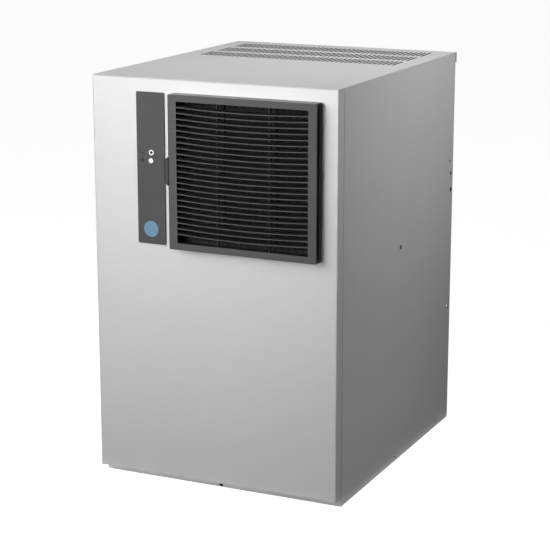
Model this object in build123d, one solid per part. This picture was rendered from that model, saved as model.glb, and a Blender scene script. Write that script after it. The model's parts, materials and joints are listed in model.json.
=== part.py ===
from build123d import *
import os

# Modular ice cube machine: it stands on a storage bin and drops its ice through the base.
# Millimetres. X runs to the right, Y from the front panel's face to the back, Z up from the bin.

# Cabinet
width = 560.0
height = 880.0
depth = 688.0
sheet = 1.0
bend = 3.0
flange = 15.0
base_height = 19.0
base_foot = 22.0
front_return = 27.5
roof_overhang = 7.0
roof_lip = 23.0
seam = 0.5
front_seam = 0.8
seat_gap = 0.3
drop_front = 110.0
drop_back_room = 188.0
drop_left_room = 160.0
drop_right_room = 50.0
drop_lip = 8.0
bin_hole_r = 5.0
bin_hole_edge = 15.0
bin_hole_front = 60.0
bin_hole_back_room = 38.0

# Top vents
slot_pitch = 11.1
slot_width = 6.0
slot_count = 43
slot_length = 66.0
slot_rows = 3
row_pitch = 90.0
row_front_room = 285.0
guard_drop = 3.6
guard_margin = 9.0
guard_slot = 8.0
guard_pitch = 13.0
roof_screw_x = 25.0

# Louvre: a door hinged at its right edge in front of a fixed frame
louvre_width = 332.0
louvre_height = 323.0
louvre_right_gap = 36.0
louvre_top_gap = 27.5
louvre_reach = 27.0
frame_depth = 12.0
frame_wall = 3.0
louvre_round = 3.0
door_wall = 2.5
door_face = 3.0
border_left = 19.0
border_right = 18.0
border_end = 14.0
blade_thick = 1.8
blade_pitch = 12.0
blade_first = 14.0
blade_bow = 4.5
blade_rise = 3.5
blade_depth = 10.0
rib_spread = 58.5
rib_wall = 2.5
rib_lap = 1.5
tab_length = 61.0
tab_reach = 9.4
tab_low = 132.5
tab_slant = 6.0
tab_groove = 1.6
groove_depth = 8.0
hinge_inset = 6.0
hinge_behind = 8.0
ear_r = 4.7
ear_thick = 5.0
hinge_pin_r = 2.5
hinge_pin_length = 5.5
hinge_fit = 0.06
boss_length = 6.0
collar_inset = 7.0
collar_wall = 2.0
collar_depth = 26.0
collar_lip = 5.0
cutout_gap = 1.0
filter_thick = 10.0
filter_border = 8.0
mesh_thick = 1.0

# Control plate
plate_side_gap = 21.5
plate_width = 65.0
plate_top_gap = 29.0
plate_height = 320.5
plate_thick = 3.0
plate_round = 3.0
power_in = 34.5
power_drop = 126.0
power_r = 6.2
service_in = 12.0
service_drop = 143.5
service_r = 4.3
button_proud = 1.0
button_rim = 1.5
button_travel = 1.2
button_gap = 0.3
stem = 1.5
lamp_in = 13.0
lamp_drop = 127.5
lamp_width = 10.0
lamp_height = 5.0
dome_in = 33.0
dome_drop = 143.5
dome_r = 5.2
lens_proud = 0.5
board_in = 6.5
board_drop = 157.0
board_width = 49.0
board_height = 42.0
board_thick = 1.6
board_post = 2.0
board_post_inset = 3.0
board_behind = 9.0
window_margin = 3.0
switch_size = 6.0

# Refrigeration deck
deck_z = 500.0
deck_flange = 22.0
pipe_hole_left_room = 70.0
pipe_hole_back_room = 178.0
pipe_hole = 60.0
condenser_width = 300.0
roof_room = 40.0
condenser_thick = 44.0
condenser_front = 46.0
condenser_lift = 40.0
fin_pitch = 15.0
fin_groove = 9.0
fin_groove_depth = 5.0
end_plate = 3.0
end_lap = 2.0
shroud_depth = 35.0
shroud_wall = 1.5
fan_rim = 34.0
fan_tip_gap = 10.0
fan_chord = 62.0
fan_pitch = 28.0
fan_blades = 5
fan_hub_r = 30.0
fan_hub_length = 26.0
fan_front = 104.0
fan_blade_thick = 2.0
fan_collar = 14.0
fan_shaft_r = 4.0
fan_shaft_fit = 0.05
fan_shaft_back = 172.0
motor_bore_back = 176.0
motor_r = 42.0
motor_length = 60.0
motor_front = 150.0
bracket_thick = 4.0
bracket_arm = 18.0
compressor_x = 95.0
compressor_back_room = 258.0
compressor_r = 85.0
compressor_height = 195.0
mount_plate = 3.0
mount_width = 230.0
mount_depth = 150.0
mount_bolt_inset = 18.0
foot = 13.0
foot_height = 16.0
bolt_head_r = 7.0
bolt_head = 5.0
drier_x = 200.0
drier_back_room = 128.0
drier_r = 15.0
drier_length = 110.0
pipe_r = 5.0

# Control box
box_side_room = 18.0
box_gap = 47.5
box_front = 60.0
box_depth = 190.0
box_top_room = 80.0
box_wall = 1.2
card_gap = 8.0

# Ice making compartment under the deck
liner_side_room = 18.0
liner_front = 36.0
liner_back_room = 128.0
liner_wall = 12.0
cell = 30.0
cell_wall = 6.0
cell_columns = 8
cell_rows = 6
cell_depth = 34.0
evaporator_x = -8.0
evaporator_y = 254.0
evaporator_thick = 52.0
evaporator_hang = 16.0
spacer = 10.0
spacer_inset = 15.0
coil_run_y = (320.0, 276.0, 232.0, 188.0)
coil_near_shift = 10.0
coil_far_shift = 15.0
coil_turn = 17.0
coil_top = 505.0
plate_gap = 1.5
water_plate_thick = 8.5
spray_slot = 4.0
tank_overlap = 9.0
tank_drop = 78.0
tank_wall = 3.0
pivot_left = 22.0
pivot_down = 4.5
tank_shaft_r = 4.0
shaft_fit = 0.06
lug_thick = 12.0
lug_half = 10.0
lug_drop = 22.0
hanger_thick = 8.0
hanger_half = 8.0
hanger_gap = 1.0
arm_radius = 82.0
arm_thick = 6.0
arm_hub_r = 12.0
arm_end = 7.0
arm_pin_r = 3.0
arm_gap = 22.0
arm_shaft_r = 5.0
arm_tank_inset = 10.0
arm_height = 96.0
spring_r = 6.0
spring_hook_r = 1.5
spring_hook = 5.0
actuator_size = 70.0
actuator_thick = 28.0
pump_r = 30.0
pump_height = 100.0
pump_casing_r = 34.0
pump_casing = 20.0
pump_x = 60.0
chute_thick = 4.0
chute_top = 170.0
chute_bottom = 40.0
chute_run = 43.0
pan_side_room = 35.0
pan_width = 115.0
pan_height = 36.0
pan_wall = 3.0
drain_r = 15.0
drain_bore = 12.0
drain_z = 38.0
switch_side_room = 80.0
switch_width = 30.0
switch_back = 7.0
paddle_width = 60.0
paddle_thick = 4.0
paddle_pivot_z = 95.0
paddle_low = 12.0
paddle_back_room = 18.0
paddle_pin_r = 2.5

# Pipes and smaller fittings
drier_low = 540.0
pipe_y = 68.0
pipe_side_room = 29.0
liquid_lift = 40.0
discharge_drop = 40.0
discharge_low = 650.0
expansion_z = 515.0
suction_z = 560.0
valve_half = 20.0
hot_gas_back_room = 88.0
hot_gas_z = 540.0
card_margin = 12.0
arm_pin_clear = 2.0
tank_pin_z = 380.0
actuator_back = 90.0
chute_front = 105.0
chute_back_room = 15.0
pan_front = 105.0
pan_back_room = 60.0
water_valve_half = 20.0
water_valve_length = 88.0
fill_z = 440.0
fill_end_x = 120.0
fill_end_y = 372.0

# Rear fittings
rear_stub = 24.0
stub_gap = 2.0
inlet_x = 150.0
inlet_z = 380.0
inlet_r = 13.2
inlet_bore = 8.0
gland_side_room = 60.0
gland_z = 560.0
gland_r = 11.0
gland_stub = 15.0
rear_slot_rows = 7
rear_slot_pitch = 16.0
rear_slot_length = 90.0
rear_slot_low = 640.0
rear_slot_height = 5.0

# Screws
screw_head_r = 5.0
screw_head = 2.0
side_screw_rooms = [(21.0, 281.0), (353.0, 11.5), (77.0, 13.0)]
deck_screw_room = 335.0
side_hole_rooms = [(22.0, 250.0, 3.0), (14.0, 279.0, 5.0), (13.0, 319.0, 6.5)]
rear_screw_edge = 60.0
base_screw_z = 6.0

# Worked out from the above
half = width / 2
inner = half - sheet
rear_reach = depth + rear_stub
gland_reach = depth + gland_stub
gland_x = gland_side_room - half
drop_back = depth - drop_back_room
drop_left = drop_left_room - half
drop_right = half - drop_right_room
bin_hole_back = depth - bin_hole_back_room
row_front = depth - row_front_room
roof_low = height - sheet
side_front = front_return + front_seam
base_front = side_front + sheet
rear_in = depth - sheet
rear_out = depth + sheet
roof_back = depth + roof_overhang
front_low = base_height + seat_gap
front_high = roof_low - front_seam
louvre_x1 = half - louvre_right_gap
louvre_x0 = louvre_x1 - louvre_width
louvre_z1 = height - louvre_top_gap
louvre_z0 = louvre_z1 - louvre_height
open_x0 = louvre_x0 + border_left
open_x1 = louvre_x1 - border_right
open_z0 = louvre_z0 + border_end
open_z1 = louvre_z1 - border_end
open_mid = (open_x0 + open_x1) / 2
door_front = -louvre_reach
door_back = -frame_depth - seat_gap
blade_back = door_front + blade_depth
hinge_x = louvre_x1 - hinge_inset
hinge_y = door_front + hinge_behind
plate_right = louvre_x0 - plate_side_gap
plate_left = plate_right - plate_width
plate_high = height - plate_top_gap
plate_low = plate_high - plate_height
power_x = plate_left + power_in
power_z = plate_high - power_drop
service_x = plate_left + service_in
service_z = plate_high - service_drop
lamp_x = plate_left + lamp_in
lamp_z = plate_high - lamp_drop
dome_x = plate_left + dome_in
dome_z = plate_high - dome_drop
board_x = plate_left + board_in
board_z = plate_high - board_drop
pipe_hole_x = pipe_hole_left_room - half
pipe_hole_y = depth - pipe_hole_back_room
condenser_x = open_mid
condenser_height = height - deck_z - condenser_lift - roof_room
fan_r = condenser_height / 2 - fan_rim
liquid_z = deck_z + condenser_lift + liquid_lift
discharge_z = deck_z + condenser_lift + condenser_height - discharge_drop
fan_y = fan_front + fan_hub_length / 2
fan_z = deck_z + condenser_lift + condenser_height / 2
compressor_y = depth - compressor_back_room
drier_y = depth - drier_back_room
pipe_side_x = inner - pipe_side_room
hot_gas_y = depth - hot_gas_back_room
box_left = box_side_room - half
box_right = condenser_x - condenser_width / 2 - end_plate - box_gap
box_height = height - deck_z - box_top_room
liner_half = half - liner_side_room
liner_back = depth - liner_back_room
coil_lead_near = pipe_hole_x + coil_near_shift
coil_lead_far = pipe_hole_x - coil_far_shift
coil_near_y = pipe_hole_y - coil_far_shift
coil_far_y = pipe_hole_y + coil_far_shift
pan_left = pan_side_room - half
pan_back = liner_back - pan_back_room
chute_back = drop_back - chute_back_room
paddle_y = drop_back - paddle_back_room
switch_x = liner_half - liner_wall - switch_side_room
side_screw_spots = [(depth - room, z) for room, z in side_screw_rooms]
deck_screw_spot = (depth - deck_screw_room, deck_z - deck_flange / 2 + sheet)
side_hole_spots = [(depth - room, height - drop, radius) for room, drop, radius in side_hole_rooms]
rear_screw_heights = (rear_screw_edge, height - rear_screw_edge)
shroud_front = condenser_front + condenser_thick + end_lap
shroud_back = shroud_front + shroud_depth
liner_top = deck_z - sheet - seat_gap
ceiling = liner_top - liner_wall
block_low = ceiling - evaporator_hang - evaporator_thick
cell_pitch = cell + cell_wall
block_x = cell_columns * cell_pitch + cell_wall
block_y = cell_rows * cell_pitch + cell_wall
tray_high = block_low - plate_gap
tray_low = tray_high - water_plate_thick
tray_x0 = evaporator_x - block_x / 2 - tank_overlap
tray_x1 = evaporator_x + block_x / 2 + tank_overlap
tray_y0 = evaporator_y - block_y / 2 - tank_overlap
tray_y1 = evaporator_y + block_y / 2 + tank_overlap
tank_low = tray_low - tank_drop
pivot_x = tray_x0 - pivot_left
pivot_z = tray_high - pivot_down
arm_x = tray_x1 - arm_tank_inset
arm_z = ceiling - arm_height
arm_y1 = tray_y0 - arm_gap
arm_y0 = arm_y1 - arm_thick
pan_right = pan_left + pan_width
pan_middle = (pan_left + pan_right) / 2
condenser_right = condenser_x + condenser_width / 2 + end_plate
y_middle = (rear_reach - louvre_reach) / 2


def block(x, y, z):
    """A box from the two ends of its three spans."""
    size = (x[1] - x[0], y[1] - y[0], z[1] - z[0])
    return Pos(x[0], y[0], z[0]) * Box(*size, align=(Align.MIN, Align.MIN, Align.MIN))


def joined(pieces):
    """One body from several that meet or overlap."""
    return Part() + list(pieces)


def group(solids):
    """Several separate solids kept in one node."""
    return Compound(children=[s for piece in solids for s in piece.solids()])


def fan_out(start, pitch, count):
    """Evenly spaced values."""
    return [start + i * pitch for i in range(count)]


def rounded_plate(x, y, z, radius):
    """A plate in the XZ plane with rounded corners."""
    plate = block(x, y, z)
    return fillet(plate.edges().filter_by(Axis.Y), radius)


def bar(axis, centre, profile, span):
    """A straight bar along an axis; centre holds its other two coordinates in X, Y, Z order."""
    length = extrude(profile, span[1] - span[0])
    if axis == "X":
        return Pos(span[0], centre[0], centre[1]) * Rot(0, 90, 0) * length
    if axis == "Y":
        return Pos(centre[0], span[0], centre[1]) * Rot(-90, 0, 0) * length
    return Pos(centre[0], centre[1], span[0]) * length


def rod(axis, centre, radius, span):
    """A round bar along an axis."""
    return bar(axis, centre, Circle(radius), span)


def hexagon_bar(axis, centre, radius, span):
    """A hexagonal bar along an axis."""
    return bar(axis, centre, RegularPolygon(radius, 6), span)


def pipe(points, radius):
    """A tube inside the cabinet: an eight-sided bar along straight runs with mitred corners."""
    path = Polyline(*points)
    start = Plane(origin=path @ 0, z_dir=path % 0)
    return sweep(start * RegularPolygon(radius, 8), path=path, transition=Transition.RIGHT)


def screw(axis, centre, face, outward):
    """A hexagon screw head whose underside sits on a face."""
    head = sorted((face, face + outward * screw_head))
    return hexagon_bar(axis, centre, screw_head_r, head)


# Cabinet

def base_pan():
    x = (-inner, inner)
    y = (base_front, rear_in)
    pan = block(x, y, (0, base_height))
    pan -= block((-inner + sheet, inner - sheet), (y[0] + sheet, y[1] - sheet), (sheet, base_height - sheet))
    pan -= block((-inner + base_foot, inner - base_foot), (y[0] + base_foot, y[1] - base_foot), (0, sheet))
    drop_x = (drop_left - sheet, drop_right + sheet)
    drop_y = (drop_front - sheet, drop_back + sheet)
    pan += block(drop_x, drop_y, (base_height - sheet, base_height + drop_lip))
    pan -= block((drop_left, drop_right), (drop_front, drop_back), (0, base_height + drop_lip))
    edge = inner - bin_hole_edge
    for x_hole in (-edge, edge):
        for y_hole in (bin_hole_front, bin_hole_back):
            pan -= rod("Z", (x_hole, y_hole), bin_hole_r, (0, sheet))
    return pan


def side_panel(side):
    skin = (inner, half)
    turned = (inner - flange, half)
    panel = joined([
        block(skin, (side_front, depth), (0, roof_low)),
        block(turned, (side_front, base_front), (front_low, roof_low)),
        block(turned, (rear_in, depth), (0, roof_low)),
        block(turned, (side_front, depth), (roof_low - sheet, roof_low)),
    ])
    if side < 0:
        return panel.mirror(Plane.YZ)
    for y, z, radius in side_hole_spots:
        panel -= rod("X", (y, z), radius, skin)
    return panel


def front_panel():
    shell = block((-half, half), (0, front_return), (front_low, front_high))
    upright = [e for e in shell.edges().filter_by(Axis.Z) if e.center().Y < sheet]
    shell = fillet(upright, bend)
    inside = block((-inner, inner), (sheet, front_return), (front_low + sheet, front_high - sheet))
    near = [e for e in inside.edges().filter_by(Axis.Z) if e.center().Y < bend]
    shell -= fillet(near, bend - sheet)
    edge = collar_inset - cutout_gap
    shell -= block((louvre_x0 + edge, louvre_x1 - edge), (0, sheet), (louvre_z0 + edge, louvre_z1 - edge))
    board_x1 = board_x + board_width + window_margin
    board_z1 = board_z + board_height + window_margin
    shell -= block((board_x - window_margin, board_x1), (0, sheet), (board_z - window_margin, board_z1))
    return shell


def rear_panel():
    edge = inner - sheet
    panel = block((-edge, edge), (depth, rear_out), (base_height + sheet, roof_low - seam))
    panel -= rod("Y", (inlet_x, inlet_z), inlet_r + seam, (depth, rear_out))
    panel -= rod("Y", (pan_middle, drain_z), drain_r + seam, (depth, rear_out))
    panel -= rod("Y", (gland_x, gland_z), gland_r + seam, (depth, rear_out))
    for z in fan_out(rear_slot_low, rear_slot_pitch, rear_slot_rows):
        for x in (-rear_slot_length - slot_pitch, slot_pitch):
            panel -= block((x, x + rear_slot_length), (depth, rear_out), (z, z + rear_slot_height))
    return panel


def panel_screws():
    """The plated screws of the side, rear and top panels."""
    edge = inner - flange / 2
    rear = [screw("Y", (side * edge, z), rear_out, 1) for side in (-1, 1) for z in rear_screw_heights]
    sides = [screw("X", spot, side * half, side) for side in (-1, 1) for spot in side_screw_spots]
    return group(rear + sides + [screw("Z", roof_screw_place(), height, 1)])


def dark_screws():
    """The blackened screws: one in the base flange and one in each side at the deck."""
    sides = [screw("X", deck_screw_spot, side * half, side) for side in (-1, 1)]
    return group(sides + [screw("Y", (0, base_screw_z), base_front, -1)])


def slot_centres():
    return fan_out(-(slot_count - 1) * slot_pitch / 2, slot_pitch, slot_count)


def row_starts():
    return fan_out(row_front, row_pitch, slot_rows)


def roof_screw_place():
    return roof_screw_x, row_starts()[1] - (row_pitch - slot_length) / 2


def top_panel():
    panel = joined([
        block((-half, half), (0, roof_back), (roof_low, height)),
        block((-half, half), (roof_back - sheet, roof_back), (height - roof_lip, height)),
    ])
    slots = [
        block((x - slot_width / 2, x + slot_width / 2), (y, y + slot_length), (roof_low, height))
        for x in slot_centres() for y in row_starts()
    ]
    return panel - slots


def vent_guard():
    reach = slot_count * slot_pitch / 2 + guard_margin
    y0 = row_starts()[0] - guard_margin
    y1 = row_starts()[-1] + slot_length + guard_margin
    top = roof_low - guard_drop
    guard = block((-reach, reach), (y0, y1), (top - sheet, roof_low))
    guard -= block((sheet - reach, reach - sheet), (y0, y1), (top, roof_low))
    inside = reach - guard_margin
    count = int((slot_length - guard_slot) / guard_pitch) + 1
    for row in row_starts():
        for y in fan_out(row, guard_pitch, count):
            guard -= block((-inside, inside), (y, y + guard_slot), (top - sheet, top))
    return guard


# Louvre

def blade(z):
    """One blade: an arc across the opening, low in the middle, rising towards the back."""
    x0 = open_x0 - door_wall / 2
    x1 = open_x1 + door_wall / 2
    low = ThreePointArc((x0, door_front, z + blade_bow), (open_mid, door_front, z), (x1, door_front, z + blade_bow))
    high = low.moved(Pos(0, 0, blade_thick))
    ends = [Line(low @ 0, high @ 0), Line(low @ 1, high @ 1)]
    front = make_face([low, high] + ends)
    way = Vector(0, blade_depth, blade_rise)
    return extrude(front, amount=way.length, dir=way.normalized())


def blade_heights():
    room = open_z1 - open_z0 - 2 * blade_first
    return fan_out(open_z0 + blade_first, blade_pitch, int(room / blade_pitch + 0.5) + 1)


def finger_tab():
    low = louvre_z0 + tab_low
    outline = Polyline(
        (louvre_x0, low), (louvre_x0 - tab_reach, low + tab_slant),
        (louvre_x0 - tab_reach, low + tab_length - tab_slant), (louvre_x0, low + tab_length), close=True,
    )
    tab = extrude(Plane.XZ * make_face(outline), door_face)
    return Pos(0, door_front + door_face, 0) * tab


def louvre_door():
    x = (louvre_x0, louvre_x1)
    z = (louvre_z0, louvre_z1)
    y = (door_front, door_back)
    rear = (door_front + door_face, door_back)
    door = rounded_plate(x, y, z, louvre_round)
    groove_x = louvre_x1 - groove_depth
    door -= block((x[0] + door_wall, groove_x - door_wall), rear, (z[0] + door_wall, z[1] - door_wall))
    door -= block((groove_x, x[1]), rear, z)
    ear_room = ear_thick + seat_gap
    for end in ((z[0], z[0] + ear_room), (z[1] - ear_room, z[1])):
        door -= block((hinge_x - ear_r - seat_gap, x[1]), rear, end)
    walls = block((open_x0 - door_wall, open_x1 + door_wall), y, (open_z0 - door_wall, open_z1 + door_wall))
    door += walls
    door -= block((open_x0, open_x1), y, (open_z0, open_z1))
    for low in (z[0] + ear_room, z[1] - ear_room - boss_length):
        span = (low, low + boss_length)
        door += rod("Z", (hinge_x, hinge_y), ear_r, span)
        door += block((groove_x - door_wall, hinge_x), (hinge_y - ear_r, hinge_y + ear_r), span)
    door -= rod("Z", (hinge_x, hinge_y), hinge_pin_r + hinge_fit, (z[0] + ear_room, z[1] - ear_room))
    blades = [blade(height_of) for height_of in blade_heights()]
    ribs = [
        block((open_mid + side * rib_spread - rib_wall / 2, open_mid + side * rib_spread + rib_wall / 2),
              (blade_back - rib_lap, door_back), (open_z0, open_z1))
        for side in (-1, 1)
    ]
    low = louvre_z0 + tab_low - tab_groove
    high = low + tab_length + 2 * tab_groove
    door -= block((x[0], x[0] + tab_groove), (door_front, door_front + tab_groove), (low, high))
    return door + (blades + ribs + [finger_tab()])


def louvre_frame():
    x = (louvre_x0, louvre_x1)
    z = (louvre_z0, louvre_z1)
    rim = rounded_plate(x, (-frame_depth, 0), z, louvre_round)
    rim -= block((x[0] + frame_wall, x[1] - frame_wall), (-frame_depth, -collar_wall),
                 (z[0] + frame_wall, z[1] - frame_wall))
    cx = (x[0] + collar_inset, x[1] - collar_inset)
    cz = (z[0] + collar_inset, z[1] - collar_inset)
    rim += block(cx, (-collar_wall, collar_depth), cz)
    inside = collar_wall
    rim -= block((cx[0] + inside, cx[1] - inside), (-collar_wall, collar_depth - collar_wall),
                 (cz[0] + inside, cz[1] - inside))
    lip = collar_wall + collar_lip
    rim -= block((cx[0] + lip, cx[1] - lip), (0, collar_depth), (cz[0] + lip, cz[1] - lip))
    for low, inward in ((z[0], 1), (z[1] - ear_thick, -1)):
        span = (low, low + ear_thick)
        rim += rod("Z", (hinge_x, hinge_y), ear_r, span)
        rim += block((hinge_x - ear_r, hinge_x + ear_r), (hinge_y, 0), span)
        face = span[1] if inward > 0 else span[0]
        pin = sorted((face, face + inward * hinge_pin_length))
        rim += rod("Z", (hinge_x, hinge_y), hinge_pin_r, pin)
    return rim


def air_filter():
    inset = collar_inset + collar_wall
    x = (louvre_x0 + inset + seat_gap, louvre_x1 - inset - seat_gap)
    z = (louvre_z0 + inset, louvre_z1 - inset - seat_gap)
    back = collar_depth - collar_wall
    y = (back - filter_thick, back)
    tray = block(x, y, z)
    pane_y = (y[0] + filter_thick / 2, y[0] + filter_thick / 2 + mesh_thick)
    inside_x = (x[0] + filter_border, x[1] - filter_border)
    inside_z = (z[0] + filter_border, z[1] - filter_border)
    tray -= block(inside_x, (y[0], pane_y[0]), inside_z)
    tray -= block(inside_x, (pane_y[1], y[1]), inside_z)
    middle = (x[0] + x[1]) / 2
    bars = [block((middle + s - mesh_thick, middle + s + mesh_thick), (y[0], pane_y[0]), inside_z)
            for s in (-rib_spread, rib_spread)]
    return tray + bars


# Control plate

def control_plate():
    x = (plate_left, plate_right)
    z = (plate_low, plate_high)
    plate = rounded_plate(x, (-plate_thick, 0), z, plate_round)
    gap = button_gap
    through = (-plate_thick, 0)
    plate -= rod("Y", (power_x, power_z), power_r + gap, through)
    plate -= rod("Y", (service_x, service_z), service_r + gap, through)
    plate -= block((lamp_x - lamp_width / 2, lamp_x + lamp_width / 2), through,
                   (lamp_z - lamp_height / 2, lamp_z + lamp_height / 2))
    posts = [block((a - board_post, a + board_post), (0, board_behind), (b - board_post, b + board_post))
             for a, b in board_posts()]
    return plate + posts


def board_posts():
    x = (board_x + board_post_inset, board_x + board_width - board_post_inset)
    z = (board_z + board_post_inset, board_z + board_height - board_post_inset)
    return [(a, b) for a in x for b in z]


def push_button(x, z, radius):
    """A cap that shows through the plate, a rim behind it and a stem to the switch."""
    rim = (button_gap, button_gap + button_rim)
    reach = radius + button_rim
    switch_top = board_behind - switch_size / 2
    return joined([
        rod("Y", (x, z), radius, (-plate_thick - button_proud, rim[0])),
        block((x - reach, x + reach), rim, (z - reach, z + reach)),
        block((x - stem, x + stem), (rim[1], switch_top - button_travel - button_gap), (z - stem, z + stem)),
    ])


def power_button():
    return push_button(power_x, power_z, power_r)


def service_button():
    return push_button(service_x, service_z, service_r)


def power_lamp_lens():
    return block((lamp_x - lamp_width / 2, lamp_x + lamp_width / 2), (-plate_thick - lens_proud, 0),
                 (lamp_z - lamp_height / 2, lamp_z + lamp_height / 2))


def service_lamp_lens():
    return rod("Y", (dome_x, dome_z), dome_r, (-plate_thick - lens_proud, -plate_thick))


def display_board():
    y = (board_behind, board_behind + board_thick)
    parts = [block((board_x, board_x + board_width), y, (board_z, board_z + board_height))]
    reach = switch_size / 2
    for x, z in ((power_x, power_z), (service_x, service_z)):
        parts.append(block((x - reach, x + reach), (board_behind - reach, board_behind), (z - reach, z + reach)))
    return joined(parts)


# Refrigeration deck

def pipe_hole_block(z):
    reach = pipe_hole / 2
    return block((pipe_hole_x - reach, pipe_hole_x + reach), (pipe_hole_y - reach, pipe_hole_y + reach), z)


def partition_shelf():
    y = (side_front + 2 * sheet, rear_in)
    shelf = block((-inner, inner), y, (deck_z - sheet, deck_z))
    for x in ((-inner, sheet - inner), (inner - sheet, inner)):
        shelf += block(x, y, (deck_z - deck_flange, deck_z))
    return shelf - pipe_hole_block((deck_z - sheet, deck_z))


def condenser():
    x0 = condenser_x - condenser_width / 2
    x1 = condenser_x + condenser_width / 2
    y = (condenser_front, condenser_front + condenser_thick)
    z = (deck_z + condenser_lift, deck_z + condenser_lift + condenser_height)
    first = x0 + (fin_pitch - fin_groove) / 2
    grooves = [block((x, x + fin_groove), (y[0], y[0] + fin_groove_depth), z)
               for x in fan_out(first, fin_pitch, int(condenser_width / fin_pitch))]
    ends = [block(x, (y[0] - end_lap, y[1] + end_lap), (deck_z, z[1] + end_lap))
            for x in ((x0 - end_plate, x0), (x1, x1 + end_plate))]
    return (block((x0, x1), y, z) - grooves) + ends


def fan_shroud():
    reach = condenser_width / 2 + end_plate
    x = (condenser_x - reach, condenser_x + reach)
    z = (deck_z + condenser_lift - fan_tip_gap, deck_z + condenser_lift + condenser_height + end_lap)
    box = block(x, (shroud_front, shroud_back), z)
    inside = (shroud_front, shroud_back - shroud_wall)
    box -= block((x[0] + shroud_wall, x[1] - shroud_wall), inside, (z[0] + shroud_wall, z[1] - shroud_wall))
    mouth = fan_r + fan_tip_gap
    return box - rod("Y", (condenser_x, fan_z), mouth, (inside[1], shroud_back))


def fan_blade():
    """The fan wheel: a hub and flat pitched blades."""
    hub = rod("Y", (0, 0), fan_hub_r, (-fan_hub_length / 2, fan_hub_length / 2))
    one = Rot(0, 0, fan_pitch) * block((-fan_chord / 2, fan_chord / 2), (-fan_blade_thick / 2, fan_blade_thick / 2),
                                       (fan_hub_r - fan_blade_thick, fan_r))
    wheel = hub + [Rot(0, turn, 0) * one for turn in fan_out(0, 360 / fan_blades, fan_blades)]
    wheel -= rod("Y", (0, 0), fan_shaft_r, (-fan_hub_length, fan_hub_length))
    return Pos(condenser_x, fan_y, fan_z) * wheel


def fan_shaft():
    return rod("Y", (condenser_x, fan_z), fan_shaft_r, (fan_front, fan_shaft_back))


def fan_motor():
    motor = rod("Y", (condenser_x, fan_z), motor_r, (motor_front, motor_front + motor_length))
    return motor - rod("Y", (condenser_x, fan_z), fan_shaft_r + fan_shaft_fit, (motor_front, motor_bore_back))


def fan_bracket():
    """A cross behind the fan with four legs to the shroud; it carries the motor."""
    y = (motor_front - bracket_thick, motor_front)
    long = fan_r + fan_tip_gap + fan_collar + shroud_wall + bracket_thick
    wide = bracket_arm / 2
    arms = [block((-long, long), y, (-wide, wide)), block((-wide, wide), y, (-long, long))]
    leg = block((long - bracket_thick, long), (shroud_back, motor_front), (-wide, wide))
    legs = [Rot(0, turn, 0) * leg for turn in fan_out(0, 90, 4)]
    cross = joined(arms + legs) - rod("Y", (0, 0), fan_shaft_r + bracket_thick, y)
    return Pos(condenser_x, 0, fan_z) * cross


def compressor_corners():
    across = mount_width / 2 - mount_bolt_inset
    along = mount_depth / 2 - mount_bolt_inset
    return [(compressor_x + a, compressor_y + b) for a in (-across, across) for b in (-along, along)]


def compressor():
    low = deck_z + foot_height + mount_plate
    shell = rod("Z", (compressor_x, compressor_y), compressor_r, (low, low + compressor_height))
    return shell + block((compressor_x - mount_width / 2, compressor_x + mount_width / 2),
                         (compressor_y - mount_depth / 2, compressor_y + mount_depth / 2), (low - mount_plate, low))


def compressor_feet():
    return group([block((x - foot, x + foot), (y - foot, y + foot), (deck_z, deck_z + foot_height))
                  for x, y in compressor_corners()])


def compressor_bolts():
    low = deck_z + foot_height + mount_plate
    return group([hexagon_bar("Z", spot, bolt_head_r, (low, low + bolt_head)) for spot in compressor_corners()])


def filter_drier():
    return rod("Z", (drier_x, drier_y), drier_r, (drier_low, drier_low + drier_length))


def liquid_pipe():
    """From the condenser's lower end to the top of the drier."""
    top = drier_low + drier_length + drier_r
    return pipe([(condenser_right, pipe_y, liquid_z), (pipe_side_x, pipe_y, liquid_z),
                 (pipe_side_x, drier_y, liquid_z), (pipe_side_x, drier_y, top),
                 (drier_x, drier_y, top), (drier_x, drier_y, top - drier_r)], pipe_r)


def discharge_pipe():
    """From the compressor to the condenser's upper end."""
    return pipe([(condenser_right, pipe_y, discharge_z), (pipe_side_x, pipe_y, discharge_z),
                 (pipe_side_x, compressor_y, discharge_z), (pipe_side_x, compressor_y, discharge_low),
                 (compressor_x + compressor_r, compressor_y, discharge_low)], pipe_r)


def expansion_pipe():
    """From the drier to the coil, down through the deck."""
    return pipe([(drier_x, drier_y, drier_low), (drier_x, drier_y, expansion_z),
                 (coil_lead_near, drier_y, expansion_z), (coil_lead_near, coil_near_y, expansion_z),
                 (coil_lead_near, coil_near_y, coil_top)], pipe_r)


def suction_pipe():
    """From the coil back to the compressor."""
    return pipe([(coil_lead_far, coil_far_y, coil_top), (coil_lead_far, coil_far_y, suction_z),
                 (coil_lead_far, compressor_y, suction_z),
                 (compressor_x - compressor_r, compressor_y, suction_z)], pipe_r)


def hot_gas_valve():
    x = (compressor_x - valve_half, compressor_x + valve_half)
    y = (hot_gas_y - valve_half, hot_gas_y + valve_half)
    body = block(x, y, (hot_gas_z - valve_half, hot_gas_z + valve_half))
    stand = block((compressor_x - pipe_r, compressor_x + pipe_r), (hot_gas_y - pipe_r, hot_gas_y + pipe_r),
                  (deck_z, hot_gas_z))
    return body + stand


def hot_gas_pipes():
    """From the compressor to the valve, and from the valve to the expansion pipe."""
    high = hot_gas_z + 3 * valve_half
    first = pipe([(compressor_x, compressor_y + compressor_r, high), (compressor_x, hot_gas_y, high),
                  (compressor_x, hot_gas_y, hot_gas_z + valve_half)], pipe_r)
    second = pipe([(compressor_x - valve_half, hot_gas_y, hot_gas_z), (coil_lead_near, hot_gas_y, hot_gas_z),
                   (coil_lead_near, hot_gas_y, expansion_z), (coil_lead_near, drier_y + pipe_r, expansion_z)],
                  pipe_r)
    return group([first, second])


# Control box

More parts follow.
